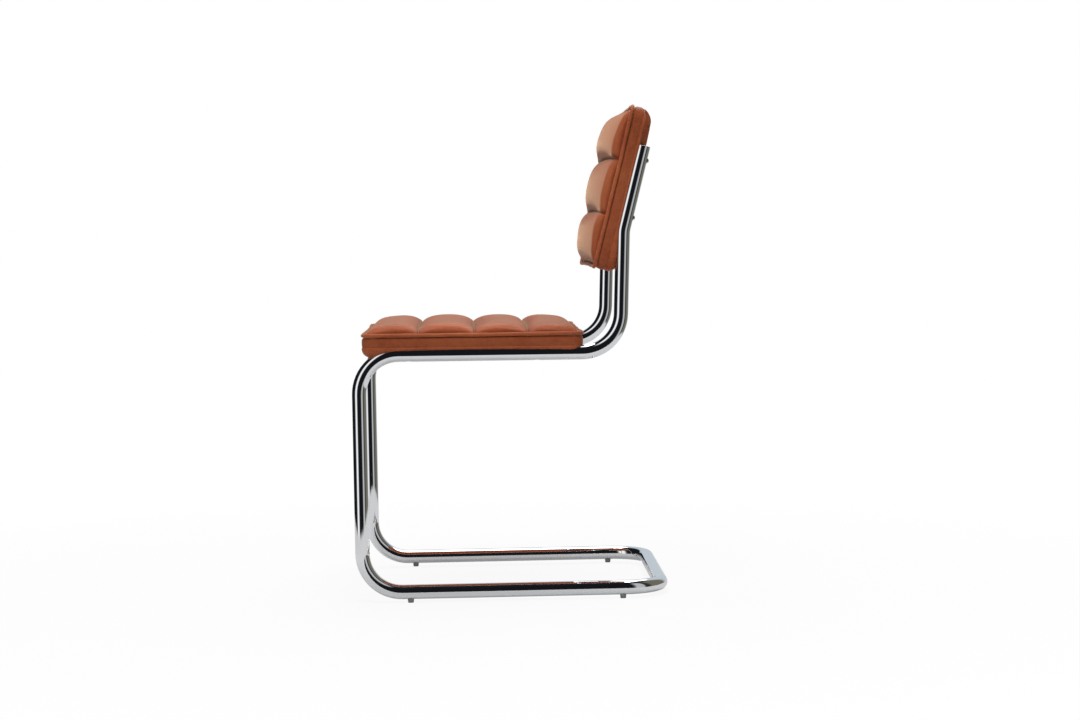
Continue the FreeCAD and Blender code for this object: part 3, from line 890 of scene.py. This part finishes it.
class CHAIR_OT_boxing(ChairOperator, bpy.types.Operator):
    """Wrap the side strips round both pads"""

    bl_idname = "chair.boxing"
    bl_label = "Side Strips"

    def execute(self, context):
        # The side strip's leather is painted 20 % darker: painted shade, as the strip faces away
        # from the overhead lamp
        finish = leather_material("strip_leather", 34.0, 0.25, shade=0.80)
        for pad in pads():
            rows = []
            for step in range(STRIP_STEPS + 1):
                t = step / STRIP_STEPS
                level = pad.seam_level + pad.boxing_height * t
                turn_in = STRIP_TURN * max(2 * t - 1, 0) ** TURN_POWER
                inset = turn_in - pad.boxing_bulge * math.sin(math.pi * t)
                row = ring(pad, inset, level)
                for point in row:
                    point.z += waver(pad, point) * max(2 * t - 1, 0)
                rows.append(row)
            rows.append(ring(pad, pad.cover_inset + SEAM_ALLOWANCE,
                             pad.piping_level - pad.groove - SEAM_ALLOWANCE))
            round_end(pad, rows)
            piece = quad_mesh(pad.name + "_side_strip", rows, pad.place, closed=True)
            thicken(piece, pad.skin)
            settle(piece, "cognac_leather", finish, pad.name + "_boxing")
        return {"FINISHED"}


class CHAIR_OT_under_covers(ChairOperator, bpy.types.Operator):
    """Stretch the covers over the backs of both pads"""

    bl_idname = "chair.under_covers"
    bl_label = "Under Covers"

    def execute(self, context):
        # The under cover's leather is painted 5 % darker: painted shade, as the cover faces away
        # from the lamps
        finish = leather_material("under_leather", 26.0, 0.30, shade=0.95)
        for pad in pads():
            radius = pad.edge_roll
            profile = [(inset, pad.seam_level + height) for inset, height in UNDER_TUCK]
            for step in range(ROLL_STEPS + 1):
                turn = math.pi / 2 * step / ROLL_STEPS
                profile.append((radius - radius * math.cos(turn),
                                pad.under_level + radius - radius * math.sin(turn)))
            for inset in range(UNDER_FIRST, int(pad.half_y) - UNDER_LAST, UNDER_STEP):
                t = min((inset - radius) / pad.crown_run, 1.0)
                crown = pad.under_crown * (3 * t * t - 2 * t ** 3)
                profile.append((inset, pad.under_level - crown))
            rows = [ring(pad, inset, level) for inset, level in profile]
            rows.append([Vector((point.x, 0, point.z)) for point in rows[-1]])
            round_end(pad, rows)
            for row in rows:
                for point in row:
                    offset = abs(abs(point.x) - pad.tube_place)
                    if offset < pad.nest_radius:
                        bed = math.sqrt(pad.nest_radius ** 2 - offset ** 2)
                        bed += tube_level(pad, point.y)
                        point.z = max(point.z, min(bed, TUBE_RADIUS))
            piece = quad_mesh(pad.name + "_under_skin", rows, pad.place, closed=True)
            thicken(piece, pad.skin)
            cover = {"seat": "seat_under_cover", "back": "back_rear_cover"}[pad.name]
            settle(piece, "cognac_leather", finish, cover, pad.name + "_padding")
        return {"FINISHED"}


class CHAIR_OT_stage(ChairOperator, bpy.types.Operator):
    """Set the camera, the floor and the studio light"""

    bl_idname = "chair.stage"
    bl_label = "Stage"

    def execute(self, context):
        scene = context.scene
        stage = scene.chair_stage
        self.place_camera(scene, stage)
        self.lay_floor(scene, stage)
        self.light(scene, stage)
        self.surround(scene, stage)
        scene.view_settings.view_transform = "Standard"
        return {"FINISHED"}

    def place_camera(self, scene, stage):
        """The photograph's viewpoint."""
        yaw, pitch, roll = stage.camera_yaw, stage.camera_pitch, stage.camera_roll
        look = Vector((-math.cos(yaw) * math.cos(pitch), math.sin(yaw) * math.cos(pitch),
                       -math.sin(pitch)))
        level_right = look.cross(Vector((0, 0, 1))).normalized()
        level_up = level_right.cross(look)
        right = math.cos(roll) * level_right + math.sin(roll) * level_up
        up = -math.sin(roll) * level_right + math.cos(roll) * level_up
        turn = Matrix((right, up, -look)).transposed().to_4x4()
        data = bpy.data.cameras.new("camera")
        data.lens = stage.lens
        data.sensor_width = SENSOR_WIDTH
        camera = bpy.data.objects.new("camera", data)
        camera.matrix_world = Matrix.Translation(Vector(stage.camera_place)) @ turn
        scene.collection.objects.link(camera)
        scene.camera = camera

    def lay_floor(self, scene, stage):
        """A white floor with a faint shadow of the chair. Metal sees it as far as
        it is lit, and the dark studio beyond."""
        half = stage.floor_size / 2
        mesh = bpy.data.meshes.new("floor")
        corners = [(-half, -half, 0), (half, -half, 0), (half, half, 0), (-half, half, 0)]
        mesh.from_pydata(corners, [], [(0, 1, 2, 3)])
        floor = bpy.data.objects.new("floor", mesh)
        scene.collection.objects.link(floor)
        material, tree, output = new_material("floor_white")
        path = node(tree, "LightPath").outputs
        place = node(tree, "TexCoord").outputs["Object"]
        away = node(tree, "VectorMath", {0: place}, {1: LIT_MIDDLE},
                    operation="DISTANCE").outputs["Value"]
        distance = math_node(tree, "DIVIDE", away, 2 * stage.lit_floor)
        lit = ramp(tree, distance, [(0.47, 1.0), (0.53, 0.0)])
        matt = node(tree, "BsdfDiffuse", values={"Color": (0.8, 0.8, 0.8, 1)})
        white = node(tree, "Emission", values={"Color": (1, 1, 1, 1), "Strength": 1.0})
        grey = node(tree, "BsdfDiffuse", values={"Color": (0.5, 0.5, 0.5, 1)})
        pale = node(tree, "Emission", values={"Color": (0.93, 0.97, 1, 1), "Strength": 0.2})
        clear = node(tree, "BsdfTransparent")
        plain = ramp(tree, distance, [(0.25, 0.90), (0.6, 1.0)])
        seen = node(tree, "MixShader", {0: plain, 1: matt.outputs[0], 2: white.outputs[0]})
        near = node(tree, "AddShader", {0: grey.outputs[0], 1: pale.outputs[0]})
        mirrored = node(tree, "MixShader", {0: lit, 1: clear.outputs[0], 2: near.outputs[0]})
        other = node(tree, "MixShader", {0: path["Is Glossy Ray"], 1: matt.outputs[0],
                                         2: mirrored.outputs[0]})
        final = node(tree, "MixShader", {0: path["Is Camera Ray"], 1: other.outputs[0],
                                         2: seen.outputs[0]})
        tree.links.new(final.outputs[0], output.inputs[0])
        mesh.materials.append(material)

    def light(self, scene, stage):
        """A large soft lamp overhead and a weak one beside the camera."""
        lamps = (("overhead", (-0.8, 0.2, 2.4), (1.5, 2.0), stage.overhead, True),
                 ("side", (1.3, -0.2, 2.8), (1.2, 1.2), stage.side, False))
        for name, place, size, power, mirrored in lamps:
            data = bpy.data.lights.new(name, "AREA")
            data.shape = "RECTANGLE"
            data.size, data.size_y = size
            data.energy = power
            lamp = bpy.data.objects.new(name, data)
            lamp.location = place
            aim = Vector(LAMP_AIM) - Vector(place)
            lamp.rotation_euler = aim.to_track_quat("-Z", "Y").to_euler()
            lamp.visible_glossy = mirrored
            scene.collection.objects.link(lamp)

    def surround(self, scene, stage):
        """A studio with tall white and dark bands round the chair, which metal
        mirrors, an even fill for cloth and leather, and a white background."""
        world = bpy.data.worlds.get("studio") or bpy.data.worlds.new("studio")
        scene.world = world
        world.use_nodes = True
        tree = world.node_tree
        tree.nodes.clear()
        output = tree.nodes.new("ShaderNodeOutputWorld")
        path = node(tree, "LightPath").outputs
        direction = node(tree, "TexCoord").outputs["Generated"]
        towards = node(tree, "SeparateXYZ", {0: direction}).outputs
        round_about = math_node(tree, "ARCTAN2", towards["Y"], towards["X"])
        turn = math_node(tree, "ADD", math_node(tree, "DIVIDE", round_about, 2 * math.pi), 0.5)
        bands = ramp(tree, turn, [((angle + 180) / 360, colour) for angle, colour in STUDIO_BANDS])
        high = ramp(tree, towards["Z"], [(0.80, 0.0), (0.92, 1.0)])
        studio = node(tree, "Mix", {"Factor": high}, data_type="RGBA")
        tree.links.new(bands, studio.inputs["A"])
        studio.inputs["B"].default_value = (*OVERHEAD_DARK, 1)
        mirrored = node(tree, "Background", {"Color": studio.outputs["Result"]}, {"Strength": 1.0})
        fill = node(tree, "Background", values={"Color": (1, 1, 1, 1), "Strength": stage.fill})
        white = node(tree, "Background", values={"Color": (1, 1, 1, 1), "Strength": 1.0})
        lighting = node(tree, "MixShader", {0: path["Is Glossy Ray"], 1: fill.outputs[0],
                                            2: mirrored.outputs[0]})
        final = node(tree, "MixShader", {0: path["Is Camera Ray"], 1: lighting.outputs[0],
                                         2: white.outputs[0]})
        tree.links.new(final.outputs[0], output.inputs[0])


PIECES = (CHAIR_OT_tubes, CHAIR_OT_fasteners, CHAIR_OT_glides, CHAIR_OT_boards, CHAIR_OT_faces,
          CHAIR_OT_piping, CHAIR_OT_boxing, CHAIR_OT_under_covers, CHAIR_OT_stage)


class VIEW3D_PT_chair(bpy.types.Panel):
    """Lists the chair's pieces and sizes"""

    bl_label = "Cantilever Chair"
    bl_space_type = "VIEW_3D"
    bl_region_type = "UI"
    bl_category = "Chair"

    def draw(self, context):
        for operator in PIECES:
            self.layout.operator(operator.bl_idname)
        for key, group in GROUPS:
            column = self.layout.column()
            column.label(text=group.__doc__)
            for name in group.__annotations__:
                column.prop(getattr(context.scene, key), name)


CLASSES = tuple(group for _, group in GROUPS) + PIECES + (VIEW3D_PT_chair,)


def register():
    for item in CLASSES:
        bpy.utils.register_class(item)
    for key, group in GROUPS:
        setattr(bpy.types.Scene, key, PointerProperty(type=group))


def unregister():
    for key, _ in GROUPS:
        delattr(bpy.types.Scene, key)
    for item in reversed(CLASSES):
        bpy.utils.unregister_class(item)


def main():
    register()
    bpy.ops.chair.tubes()
    bpy.ops.chair.fasteners()
    bpy.ops.chair.glides()
    bpy.ops.chair.boards()
    bpy.ops.chair.faces()
    bpy.ops.chair.piping()
    bpy.ops.chair.boxing()
    bpy.ops.chair.under_covers()
    bpy.ops.chair.stage()


if __name__ == "__main__":
    main()
